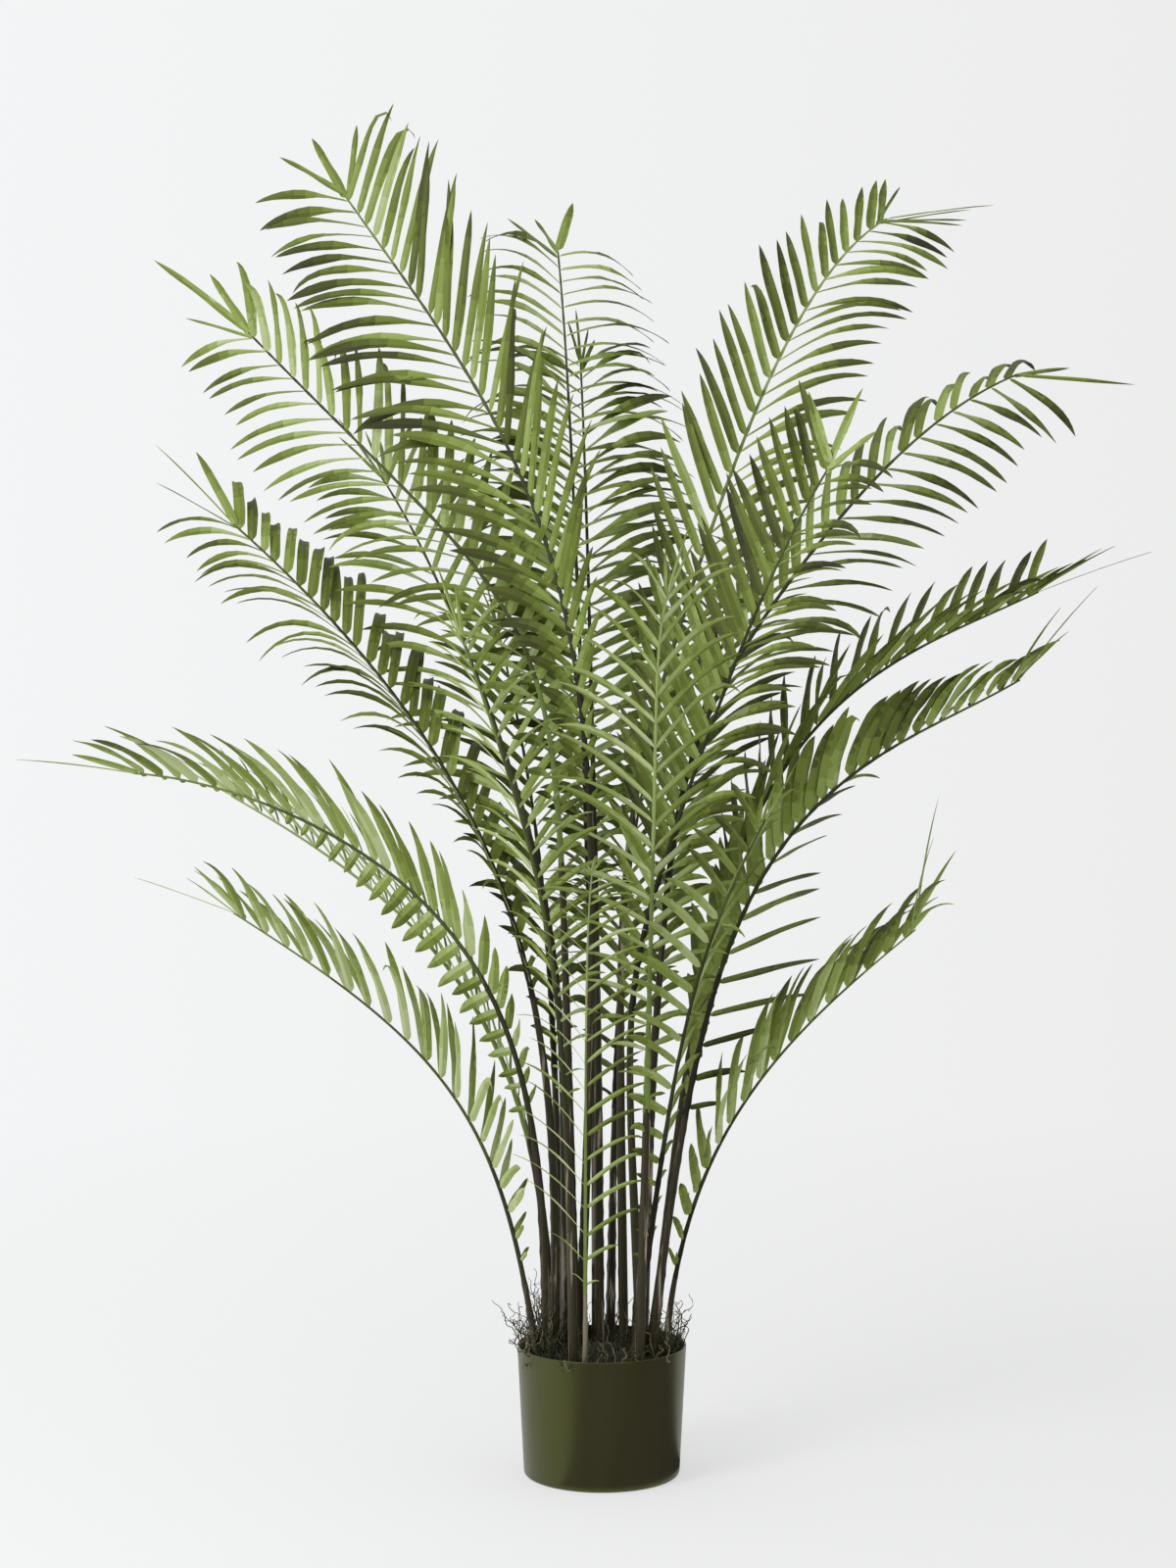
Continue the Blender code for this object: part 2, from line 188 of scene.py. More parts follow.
# %% Pot plastic
# Moulded black polypropylene is satin, so soft light shows in it as wide bands. They have an olive cast here.
pot_plastic, pot_shader = add_material(
    "moulded_black_polypropylene", "#383424", 0.34, Specular_IOR_Level=0.85, IOR=1.49
)
pot_shader.inputs["Specular Tint"].default_value = linear("#d6ea70")
tree = pot_plastic.node_tree
place = add_node(tree, "ShaderNodeTexCoord").outputs["Object"]
flow = add_node(tree, "ShaderNodeMapping", {"Vector": place})
flow.inputs["Scale"].default_value = (1.0, 1.0, 0.15)
cloud = add_node(tree, "ShaderNodeTexNoise", {"Vector": flow.outputs[0]}, Scale=38.0, Detail=3.0)
tint = add_node(tree, "ShaderNodeValToRGB", {"Fac": cloud.outputs["Fac"]})
tint.color_ramp.elements[0].color = linear("#2f2b20")
tint.color_ramp.elements[1].color = linear("#383327")
tree.links.new(tint.outputs["Color"], pot_shader.inputs["Base Color"])
grain = add_node(tree, "ShaderNodeTexNoise", {"Vector": place}, Scale=900.0, Detail=2.0)
skin = add_node(tree, "ShaderNodeBump", {"Height": grain.outputs["Fac"]}, Strength=0.08, Distance=0.0004)
tree.links.new(skin.outputs["Normal"], pot_shader.inputs["Normal"])

pot = add_piece("pot_wall", *turned(pot_profile, 144), [pot_plastic], node=["pot"], slot="pot_plastic")
print("pot has", len(pot.data.polygons), "faces")

# %% [markdown]
# ## The moss-covered plug
#
# Plaster or foam holds the wires, and dry moss hides it. From the side it is a dark, lumpy surface just under
# the rim. Its height is a sum of waves in the two directions of the plane, which is enough for something
# that is seen between stems.

# %% Plug
MOSS_HEAP = 0.014
LUMP_HEIGHT = 0.0016
PLUG_GAP = 0.0008


def smooth(value):
    """0 below 0 and 1 above 1, with 3 t^2 - 2 t^3 between."""
    value = np.clip(value, 0.0, 1.0)
    return value * value * (3.0 - 2.0 * value)


fill_radius = FOOT_RADIUS + pot_slope * FILL_TOP - WALL - PLUG_GAP
rings_r = np.linspace(0.004, fill_radius, 22)
fill_profile = [(0.0, POT_FLOOR + GAP), (fill_radius - 0.006, POT_FLOOR + GAP)]
fill_profile += [(radius, FILL_TOP) for radius in rings_r[::-1]] + [(0.0, FILL_TOP)]
fill_points, fill_faces = turned(fill_profile, 96)
top = fill_points[:, 2] > FILL_TOP - 0.001
fx, fy = fill_points[top, 0], fill_points[top, 1]
lumps = np.sin(fx * 210 + 1.3 * np.sin(fy * 160)) * np.sin(fy * 240 + 0.7)
lumps = lumps + 0.6 * np.sin(fx * 520 + fy * 430)
heap = MOSS_HEAP * smooth(1.0 - np.hypot(fx, fy) / fill_radius)
fill_points[top, 2] += LUMP_HEIGHT * lumps - 0.001 + heap
# Dry moss is matt and crumbly, so it shows no gloss and its colour changes every few millimetres
moss_ground, moss_shader = add_material("dry_moss_over_plaster", "#2e261a", 0.95)
tree = moss_ground.node_tree
place = add_node(tree, "ShaderNodeTexCoord").outputs["Object"]
crumb = add_node(tree, "ShaderNodeTexNoise", {"Vector": place}, Scale=260.0, Detail=5.0)
tint = add_node(tree, "ShaderNodeValToRGB", {"Fac": crumb.outputs["Fac"]})
tint.color_ramp.elements[0].position = 0.35
tint.color_ramp.elements[0].color = linear("#221f14")
tint.color_ramp.elements[1].position = 0.7
tint.color_ramp.elements[1].color = linear("#3f3a26")
tree.links.new(tint.outputs["Color"], moss_shader.inputs["Base Color"])
rough = add_node(tree, "ShaderNodeBump", {"Height": crumb.outputs["Fac"]}, Strength=0.7, Distance=0.003)
tree.links.new(rough.outputs["Normal"], moss_shader.inputs["Normal"])
add_piece("moss_plug", fill_points, fill_faces, [moss_ground], sharp=80.0, node=["fill"], slot="fill")
print("plug top lies at", round(float(fill_points[top, 2].mean()) * 1000, 1), "mm")

# %% [markdown]
# ## The fronds' lines
#
# A frond is one wire from the plug to its tip. The table repeats the solid model's sizes: where each stem
# stands, which way it leans and how the lean grows, how the blade is rolled about its rib, and how its
# leaflets stand off. The lean follows a logistic curve, so a stem is nearly straight below and above one
# smooth bend.

# %% The table of fronds
# x, y, length, leafy, leaflet and end are millimetres, and the angles are degrees. grown is the share of the
# blade on which the leaflets reach their full length. first and second are the lengths of the two rows as
# shares of leaflet. wire is the wire's thickness as a share of the usual one. taper is how much longer the
# first row's leaflets are at the foot than at the tip, again as a share.
Frond = namedtuple(
    "Frond",
    "name x y heading length leafy foot tip at over droop"
    " turn_low turn_high rise out_low out_high sag leaflet end lift grown first second wire taper",
    defaults=(0, 0.4, 1, 1, 1, 0),
)
FRONDS = (
    Frond("top_left", -25, 34, 130, 1470, 880, -4, 52, 0.59, 0.105, -4, -65, -47, 30, 34, 62, 0.6, 165, 100),
    Frond("high_left", -28, 14, 140, 1355, 820, 2, 54, 0.57, 0.052, -2, -30, -68, 30, 52, 55, 1.0, 135, 132),
    Frond("middle_left", -52, 10, 154, 1053, 660, -4, 51, 0.50, 0.16, 4, 10, -28, 20, 44, 46, 1.2, 140, 122),
    Frond("low_left", -60, -8, 172, 887, 620, -1, 69, 0.51, 0.13, 19, 30, -9, 58, 43, 43, 0.4, 128, 135),
    Frond("low_back_left", -55, 26, 158, 776, 540, -3, 68, 0.49, 0.175, 0, 0, 0, 50, 46, 42, 0.5, 128, 110),
    Frond("lowest_left", -69, -20, 188, 618, 520, 7, 58, 0.48, 0.14, 0, -10, 12, 36, 60, 42, 0.4, 136, 115),
    Frond("inner_left", -40, 36, 135, 1050, 640, 0, 28, 0.46, 0.08, 16, -50, -45, 24, 52, 52, 0.9, 130, 100),
    Frond("top_back", -6, 56, 98, 1300, 820, 0, 15, 0.22, 0.05, 20, 30, 18, 16, 59, 71, 1.0, 160, 64),
    Frond("middle_back", -2, 34, 94, 1169, 700, 0, 20, 0.30, 0.15, 15, 0, 0, 20, 56, 60, 0.9, 130, 80),
    Frond("top_right", 24, 40, 48, 1445, 880, -1, 25, 0.40, 0.05, 41, 10, 60, 24, 30, 51, 0.8, 128, 126),
    Frond("high_right", 36, 22, 22, 1260, 780, 4, 36, 0.53, 0.05, 33, -105, -112, 37, 34, 40, 1.1, 145, 130),
    Frond("inner_right", 43, -14, -25, 1011, 640, -3, 20, 0.41, 0.05, 14, 70, 70, 16, 50, 50, 0.7, 142, 100),
    Frond("middle_right", 56, 30, 16, 1030, 640, 6, 97, 0.73, 0.13, -21, -40, 0, 53, 38, 50, 0.3, 124, 124),
    Frond("low_right", 52, -6, 8, 905, 640, 7, 99, 0.73, 0.134, -28, -125, -12, 44, 44, 44, 0.6, 140, 136),
    Frond("lowest_right", 68, -22, -5, 563, 470, -4, 58, 0.44, 0.23, -3, 20, -20, 36, 42, 38, 0.6, 134, 140),
    Frond("lowest_front", -18, -62, 272, 640, 560, 2, 74, 0.74, 0.10, 0, 0, 0, 10, 56, 50, 0.7, 74, 60),
    Frond("tall_front", 40, -52, 286, 842, 560, 5, 72, 0.97, 0.04, -8, 0, 0, 14, 75, 34, 0.8, 130, 90),
    Frond("front_left", -30, -46, 232, 820, 540, 2, 30, 0.60, 0.12, 0, 0, 0, 24, 56, 46, 0.9, 105, 80),
    Frond("front_right", 34, -34, 322, 625, 520, 9, 31, 0.71, 0.12, 3, 0, 0, 24, 64, 56, 0.6, 112, 80),
    Frond("low_back", 10, 68, 82, 820, 560, 5, 70, 0.60, 0.14, 0, 0, 0, 30, 56, 44, 0.8, 128, 110),
    Frond("back_right", 46, 52, 68, 980, 620, 4, 52, 0.62, 0.14, 0, 0, 0, 30, 56, 46, 0.8, 130, 110),
    Frond("back_left", -44, 56, 104, 900, 600, 4, 50, 0.60, 0.14, 0, 0, 0, 30, 56, 46, 0.8, 130, 110),
)

# Sizes of single fronds that differ from the usual
OWN = {
    "low_left": {"grown": 0.55, "second": 0.34},
    "lowest_left": {"wire": 0.8},
    "top_right": {"second": 1.12, "taper": 0.6},
    "high_right": {"first": 1.1},
    "low_right": {"grown": 0.25, "first": 0.85, "second": 0.72, "taper": 1.2},
    "lowest_right": {"lift": 42, "grown": 0.5, "wire": 0.8},
    "lowest_front": {"grown": 0.15, "second": 1.25, "wire": 0.6},
    "front_right": {"grown": 0.75},
}
FRONDS = tuple(frond._replace(**OWN.get(frond.name, {})) for frond in FRONDS)
print(len(FRONDS), "fronds, leafy length", sum(frond.leafy for frond in FRONDS) / 1000, "m")

# %% A frond's line
SPINE_STEPS = 240
STEM_RADIUS = 0.0055
RIB_RADIUS = 0.0034
THIN_RADIUS = 0.002
TIP_RADIUS = 0.0011


def unit(vectors):
    """Each vector divided by its length."""
    return vectors / np.linalg.norm(vectors, axis=-1, keepdims=True)


class Spine:
    """The line of a frond in equal steps, each turned by the lean at its share of the length.

    lean = foot + (tip - foot) / (1 + exp(-(share - at) / over)) + droop * share^6, in degrees, and a step
    goes sin(lean) outwards along the heading and cos(lean) up.
    """

    def __init__(self, frond):
        self.length = frond.length / 1000
        self.wire = frond.wire
        self.leaf_start = (frond.length - frond.leafy) / 1000
        share = (np.arange(SPINE_STEPS) + 0.5) / SPINE_STEPS
        bend = 1.0 / (1.0 + np.exp(-(share - frond.at) / frond.over))
        lean = np.radians(frond.foot + (frond.tip - frond.foot) * bend + frond.droop * share**6)
        heading = math.radians(frond.heading)
        outward = np.array([math.cos(heading), math.sin(heading), 0.0])
        along = np.sin(lean)[:, None] * outward + np.cos(lean)[:, None] * np.array([0.0, 0.0, 1.0])
        foot = np.array([[frond.x / 1000, frond.y / 1000, FILL_TOP + GAP]])
        self.points = np.vstack([foot, foot + np.cumsum(along, axis=0) * self.length / SPINE_STEPS])
        self.edges = np.linspace(0.0, self.length, SPINE_STEPS + 1)
        leafy = np.clip((share * self.length - self.leaf_start) / (self.length - self.leaf_start), 0, 1)
        turn = np.radians(frond.turn_low + (frond.turn_high - frond.turn_low) * leafy)[:, None]
        level = np.array([-math.sin(heading), math.cos(heading), 0.0])
        upper = np.cross(along, level)
        self.middles = share * self.length
        self.along = along
        self.side = level * np.cos(turn) + upper * np.sin(turn)
        self.upper = upper * np.cos(turn) - level * np.sin(turn)

    def at(self, places):
        """Points and the three directions at distances from the plug, read between the steps."""
        points = np.stack([np.interp(places, self.edges, self.points[:, k]) for k in range(3)], axis=1)
        ways = []
        for table in (self.along, self.side, self.upper):
            way = np.stack([np.interp(places, self.middles, table[:, k]) for k in range(3)], axis=1)
            ways.append(unit(way))
        return points, *ways

    def radius(self, places):
        """Half the wire's thickness: even tapers to the first leaflets, to 0.4 of the rib and to the tip."""
        thin = self.leaf_start + 0.4 * (self.length - self.leaf_start)
        edges = [0.0, self.leaf_start, thin, self.length]
        return self.wire * np.interp(places, edges, [STEM_RADIUS, RIB_RADIUS, THIN_RADIUS, TIP_RADIUS])


spines = {frond.name: Spine(frond) for frond in FRONDS}
print("highest rib tip", round(max(spine.points[-1, 2] for spine in spines.values()), 3), "m")

# %% [markdown]
# ## Stems
#
# The stems are iron wires in a dark brown plastic coat that imitates old leaf stalks. The coat is a tube
# along the line with long shallow ridges, and small scars where old leaves would have been. Its colour is
# drawn by noise that is stretched upwards into taupe streaks. These are partly the coat's own tone and partly
# painted
# highlight: pale stripes painted on in place of light from the left.

# %% Tubes with relief
RIDGES = 5
RIDGE_DEPTH = 0.07
SCAR_SPACING = 0.034
SCAR_HEIGHT = 0.16


def tube(spine, start, end, step, sides, relief):
    """Points on a tube: centre + r (cos a side + sin a upper), closed by a point at each end."""
    places = np.linspace(start, end, max(3, round((end - start) / step)) + 1)
    centre, _, side, upper = spine.at(places)
    angle = np.arange(sides) * 2 * math.pi / sides
    radius = spine.radius(places)[:, None] * relief(places[:, None], angle[None, :])
    out = side[:, None] * np.cos(angle)[None, :, None] + upper[:, None] * np.sin(angle)[None, :, None]
    rings = centre[:, None] + radius[:, :, None] * out
    points = np.vstack([rings.reshape(-1, 3), centre[:1], centre[-1:]])
    count = len(places)
    faces = []
    for edge in range(sides):
        other = (edge + 1) % sides
        last = (count - 1) * sides
        faces += [(count * sides, other, edge), (count * sides + 1, last + edge, last + other)]
        for low in range(0, last, sides):
            faces.append((low + edge, low + other, low + sides + other, low + sides + edge))
    return points, faces


def stem_relief(places, angle):
    """1 + ridges along the stem + a scar ring at even distances, as a narrow bump."""
    ridge = RIDGE_DEPTH * np.cos(RIDGES * angle + 9 * places)
    phase = (places + 0.004 * np.sin(2 * angle)) % SCAR_SPACING / SCAR_SPACING - 0.5
    scar = np.exp(-((phase * 16) ** 2))
    return 1.0 + ridge + SCAR_HEIGHT * scar


# %% Stem materials
# The coat is extruded and matt brown, with long taupe streaks some 7 mm apart. The streaks are partly the
# coat's own tone and partly painted highlight, standing in for light from the left.
stem_coat, stem_shader = add_material("brown_coat_with_painted_highlight_streaks", "#3a3524", 0.45, Specular_IOR_Level=0.25)
tree = stem_coat.node_tree
place = add_node(tree, "ShaderNodeTexCoord").outputs["Object"]
pulled = add_node(tree, "ShaderNodeMapping", {"Vector": place})
pulled.inputs["Scale"].default_value = (1.0, 1.0, 0.035)
# The pale taupe stripes from this noise are partly the coat's own tone and partly painted highlight in place
# of light from the left.
streak_and_painted_highlight = add_node(tree, "ShaderNodeTexNoise", {"Vector": pulled.outputs[0]}, Scale=150.0, Detail=3.0)
tint = add_node(tree, "ShaderNodeValToRGB", {"Fac": streak_and_painted_highlight.outputs["Fac"]})
tint.color_ramp.elements[0].position = 0.5
tint.color_ramp.elements[0].color = linear("#3a3524")
tint.color_ramp.elements[1].position = 0.68
tint.color_ramp.elements[1].color = linear("#a0937f")
tint.color_ramp.elements.new(0.6).color = linear("#443d2b")
tree.links.new(tint.outputs["Color"], stem_shader.inputs["Base Color"])
fine = add_node(tree, "ShaderNodeBump", {"Height": streak_and_painted_highlight.outputs["Fac"]}, Strength=0.5, Distance=0.0006)
tree.links.new(fine.outputs["Normal"], stem_shader.inputs["Normal"])
stem_pale, _ = add_material("extruded_taupe_coat", "#7d7460", 0.55, Specular_IOR_Level=0.25)
PALE_STEMS = ("lowest_front",)

# %% Build the stems
STEM_STEP = 0.0085
STEM_SIDES = 12
PAST_FIRST_PAIR = 0.004
all_points, all_faces, all_numbers, count = [], [], [], 0
for frond in FRONDS:
    spine = spines[frond.name]
    end = spine.leaf_start + PAST_FIRST_PAIR
    points, faces = tube(spine, 0.0, end, STEM_STEP, STEM_SIDES, stem_relief)
    all_points.append(points)
    all_faces += [[corner + count for corner in face] for face in faces]
    all_numbers += [int(frond.name in PALE_STEMS)] * len(faces)
    count += len(points)
stems = add_piece(
    "stems",
    np.vstack(all_points),
    all_faces,
    [stem_coat, stem_pale],
    all_numbers,
    sharp=60.0,
    node=["stem_" + frond.name for frond in FRONDS],
    slot="stem_plastic",
)
print("stems have", len(stems.data.polygons), "faces")

# %% [markdown]
# ## Ribs
#
# Above the first leaflets the coat is dark brown or green, and on some fronds it gets greener towards the
# tip. It swells a little where each pair of leaflets is plugged on. The colours have a place, so they are
# plain materials given to faces by their share of the way up.

# %% Ribs
PAIR_SPACING = 0.027
RIB_COLOURS = (
    ("rib_coat_brown", "#28241a"),
    ("rib_coat_olive", "#363821"),
    ("rib_coat_green", "#4c552a"),
    ("rib_coat_fresh", "#6b7c40"),
    ("rib_coat_pale", "#8fa062"),
)
RIB_TONES = {
    "top_left": (0, 3),
    "high_left": (3, 1),
    "low_left": (1, 3),
    "low_back_left": (3, 4),
    "lowest_left": (1, 3),
    "top_right": (1, 5),
    "high_right": (0, 2),
    "inner_right": (0, 2),
    "lowest_right": (0, 3),
    "lowest_front": (3, 4),
    "tall_front": (3, 4),
    "front_left": (1, 3),
}
PLAIN_RIB = (0, 2)
RIB_SIDES = 8
RIB_SWELL = 0.28
rib_materials = [add_material(name, colour, 0.6, Specular_IOR_Level=0.2)[0] for name, colour in RIB_COLOURS]


def rib_relief(places, angle):
    """1 + a bump at each pair of leaflets, widest at the two sides where they sit."""
    phase = (places % PAIR_SPACING) / PAIR_SPACING - 0.5
    return 1.0 + RIB_SWELL * np.exp(-((phase * 5) ** 2)) * np.abs(np.cos(angle))


all_points, all_faces, all_numbers, count = [], [], [], 0
for frond in FRONDS:
    spine = spines[frond.name]
    points, faces = tube(spine, spine.leaf_start, spine.length, PAIR_SPACING / 3, RIB_SIDES, rib_relief)
    corner_share = np.arange(len(points)) / len(points)
    first = np.array([max(face[0], face[1]) for face in faces])
    share = corner_share[np.minimum(first, len(points) - 1)]
    all_points.append(points)
    all_faces += [[corner + count for corner in face] for face in faces]
    low, high = RIB_TONES.get(frond.name, PLAIN_RIB)
    all_numbers += list(np.round(low + (high - low) * share).clip(0, len(RIB_COLOURS) - 1).astype(int))
    count += len(points)
all_points = np.vstack(all_points)
ribs = add_piece("ribs", all_points, all_faces, rib_materials, all_numbers, slot="stem_plastic")
print("ribs have", len(ribs.data.polygons), "faces")

# %% [markdown]
# ## The shape of a leaflet
#
# A leaflet is cut from printed polyester and pressed over a die, so it has a blunt round base on a short
# stalk, is widest in its first third, runs to a fine point, and is folded along the middle like a gutter.
# Its section has four corners: two sharp edges, and the fold's top and underside. Thirteen rows of them
# are enough for a curved outline, and keep a thousand leaflets light.

# %% Leaflet form
ROWS = np.array([0.0, 0.012, 0.03, 0.06, 0.12, 0.22, 0.34, 0.46, 0.58, 0.7, 0.81, 0.9, 0.96, 1.0])
LEAFLET_WIDTH = 0.0125
LEAFLET_THICKNESS = 0.0006
STALK_SHARE = 0.18
FOLD = 0.16
CURL = 0.2
WAVINESS = 0.2
SCALE_SHARE = 0.16
LAST_SHARE = 0.7
SHORTER_FROM = 0.65
FULL_WIDTH_FROM = 0.045
END_SPACING = 0.006
END_SAG = 0.12


def blade_width(share, thin):
    """A stalk that opens to a blunt base, a slight swell to 0.3, then 1 - t^4 down to the point.

    A thin leaflet opens late instead: from 0.4 of its width at a tenth of its length to all of it at half.
    At thin 2 it also runs out early, to a hair at 0.85.
    """
    opening = STALK_SHARE + (1 - STALK_SHARE) * np.sqrt(np.clip((share - 0.012) / 0.05, 0, 1))
    swell = 0.88 + 0.12 * smooth(share / 0.3)
    swell = np.where(thin > 0, 0.4 + 0.6 * smooth((share - 0.1) / 0.4), swell)
    narrowing = 1.0 - np.clip((share - 0.25) / 0.75, 0, 1) ** 4
    narrowing = np.where(thin > 1, 1.0 - 0.85 * smooth((share - 0.45) / 0.4), narrowing)
    return opening * swell * np.maximum(narrowing, 0.02)


def leaflet_faces():
    """Faces of one leaflet: four bands between rows, closed at the stalk and drawn together at the point."""
    rows = len(ROWS) - 1
    faces = [(3, 2, 1, 0)]
    for row in range(rows - 1):
        for corner in range(4):
            low, other = row * 4 + corner, row * 4 + (corner + 1) % 4
            faces.append((low, other, other + 4, low + 4))
    faces += [((rows - 1) * 4 + k, (rows - 1) * 4 + (k + 1) % 4, rows * 4) for k in range(4)]
    return faces


def leaflet_points(spine, leaf):
    """Points (n, 53, 3) of n leaflets. leaf holds one value a leaflet under each name.

    A leaflet's way is unit(start + CURL t along + (sag t^1.5 + hook t^7) down), where start stands off the
    rib's own direction by out, in the blade's plane lifted by rise. Its width starts in the blade's plane,
    square to its way, and is turned about the way by roll + twist t + a wave of the leaflet's own.
    """
    root, along, side, upper = spine.at(leaf["place"])
    hand, length, width, out, rise, sag, hook, roll, twist, wave = (
        leaf[name][:, None]
        for name in ("hand", "length", "width", "out", "rise", "sag", "hook", "roll", "twist", "wave")
    )
    outward = hand * side * np.cos(rise) + upper * np.sin(rise)
    start = along * np.cos(out) + outward * np.sin(out)
    middle = ((ROWS[1:] + ROWS[:-1]) / 2)[None, :, None]
    fall = sag[:, None] * middle**1.5 + hook[:, None] * middle**7
    ways = unit(start[:, None] + CURL * middle * along[:, None] + fall * np.array([0.0, 0.0, -1.0]))
    steps = np.cumsum(ways * np.diff(ROWS)[None, :, None], axis=1) * length[:, None]
    root = root + start * spine.radius(leaf["place"])[:, None] * 0.8
    centre = root[:, None] + np.concatenate([np.zeros((len(root), 1, 3)), steps], axis=1)
    way = np.concatenate([ways[:, :1], ways], axis=1)
    flat = (along * np.sin(out) - outward * np.cos(out))[:, None]
    across = unit(flat - (flat * way).sum(axis=2, keepdims=True) * way)
    normal = np.cross(across, way) * hand[:, None]
    turn = roll + twist * ROWS + WAVINESS * smooth(ROWS / 0.4) * np.sin(9.0 * ROWS + wave)
    cosine, sine = np.cos(turn)[:, :, None], np.sin(turn)[:, :, None]
    across, normal = across * cosine + normal * sine, normal * cosine - across * sine
    half = (width * blade_width(ROWS[None, :], leaf["thin"][:, None]) / 2)[:, :, None]
    lifted = centre + normal * half * 2 * FOLD
    thick = normal * LEAFLET_THICKNESS / 2
    corners = [lifted - across * half, centre + thick, lifted + across * half, centre - thick]
    rows = np.stack(corners, axis=2)
    rows = np.where((hand > 0)[:, :, None, None], rows, rows[:, :, [0, 3, 2, 1]])
    body = rows[:, :-1].reshape(len(root), -1, 3)
    return np.concatenate([body, centre[:, -1:]], axis=1)


print("a leaflet has", len(leaflet_faces()), "faces")

# %% [markdown]
# ## Leaf colours
#
# The polyester is printed in greens that run from yellowish to nearly black, lighter at the base and darker
# and browner at the point, and paler underneath. Each colour has its place on a leaflet, so it is a plain
# material given to faces, and a leaflet's own shade is dealt out from a seeded draw around its frond's tone.
# The frond tones are partly the print's greens and partly painted light and shade: paler on the fronds at the
# left, where the light comes from, and darker on those at the right.

# %% Leaf materials
LEAF_COLOURS = (
    ("printed_leaf_palest", "#adb984"),
    ("printed_leaf_pale", "#9ead6f"),
    ("printed_leaf_light", "#90a05b"),
    ("printed_leaf_fresh", "#829349"),
    ("printed_leaf_bright", "#75853a"),
    ("printed_leaf_green", "#68762e"),
    ("printed_leaf_mid", "#5b6727"),
    ("printed_leaf_deep", "#4f5820"),
    ("printed_leaf_shaded", "#444a1a"),
    ("printed_leaf_dark", "#393d15"),
    ("printed_leaf_darkest", "#2f3216"),
    ("printed_leaf_tip_brown", "#2e2b15"),
)
MOTTLE = 0.25
PALER_BELOW = 1.2
LEAF_ROUGHNESS = 0.55
leaf_materials = [
    add_material(name, colour, LEAF_ROUGHNESS, Specular_IOR_Level=0.2)[0] for name, colour in LEAF_COLOURS
]
bands = len(ROWS) - 1
face_rows = np.concatenate([[0], np.repeat(np.arange(bands), 4)])
face_corner = np.concatenate([[0], np.tile(np.arange(4), bands)])
print("rows of faces", face_rows.max() + 1)


def leaflet_tones(leaf):
    """Number of a material for each face of each leaflet, from its tone and its place on the leaflet.

    A wide leaflet darkens evenly from base to point. A thin one is pale to a third of its length and
    darkest at two thirds. A wave of its own mottles it, one half is darker than the other, and the underside
    is paler.
    """
    half = np.where(face_corner % 3 == 0, 0.5, -0.5)
    places = ROWS[face_rows] + 0.06 * half
    wide = np.interp(places, [0.0, 0.12, 0.5, 0.9, 1.0], [-1.5, -0.7, 0.3, 1.5, 2.0])
    thin = np.interp(places, [0.0, 0.3, 0.5, 0.7, 1.0], [-2.2, -1.5, 0.9, 1.7, 1.2])
    along = np.where(leaf["thin"][:, None] > 0, thin, wide)
    under = (face_corner >= 2)[None, :] == (leaf["hand"] > 0)[:, None]
    mottle = MOTTLE * np.sin(11.0 * places + 3.0 * leaf["wave"][:, None])
    shade = leaf["tone"][:, None] + along + mottle + half[None, :] - PALER_BELOW * under
    return np.clip(np.round(shade), 0, len(LEAF_COLOURS) - 1).astype(int)


# %% [markdown]
# ## Fronds
#
# Pairs of leaflets sit every 27 mm or so, and closer on a crowded frond. They grow from small scales at the
# foot to full length and shorten again at the tip, where a few point straight on. Each one is bent by hand a
# little differently, so its length, angle, sag and twist get a small seeded change. The two rows of a frond
# are rolled differently: often one shows its flat faces and the other starts on edge and turns further out.

# %% How each frond's two rows are rolled
# In a Row roll and twist are degrees, and width is a share of the full leaflet width. thin is 1 for leaflets
# that start narrow and pale, and 2 for ones that end in a hair too. hook bends the points down, and shade is
# added to the frond's tone. sag is a share of the table's value, low and high are shares of its out_low and
# out_high, lift is added to its rise, and taper works as in the table, on top of it. every is 2 where only
# each second leaflet of the row is there.
#
# In a Look tone is the frond's shade, from 0 for pale to 11 for dark. It is partly the print's own green and
# partly painted light and shade, paler on the fronds at the lit left and darker on those at the right. first
# is the row on the side of the blade's level direction, and second is the other one. ends has a row for each
# leaflet at the tip: side, degrees out, degrees of lift, share of the end length and share of the width.
# density is how many times the usual number of leaflets the frond has, and end_shade is added to the tone at
# the tip.
Row = namedtuple(
    "Row",
    "roll twist width thin hook sag shade low high lift taper every",
    defaults=(0, 0, 1, 0, 1, 1, 0, 0, 1),
)
Look = namedtuple("Look", "tone first second ends density end_shade", defaults=((), 1, -0.6))
FILAMENTS = ((1, 2, 0, 1.0, 0.3), (1, 13, 0, 0.8, 0.35), (-1, 12, 0, 0.75, 0.3), (-1, 24, 0, 0.6, 0.5))
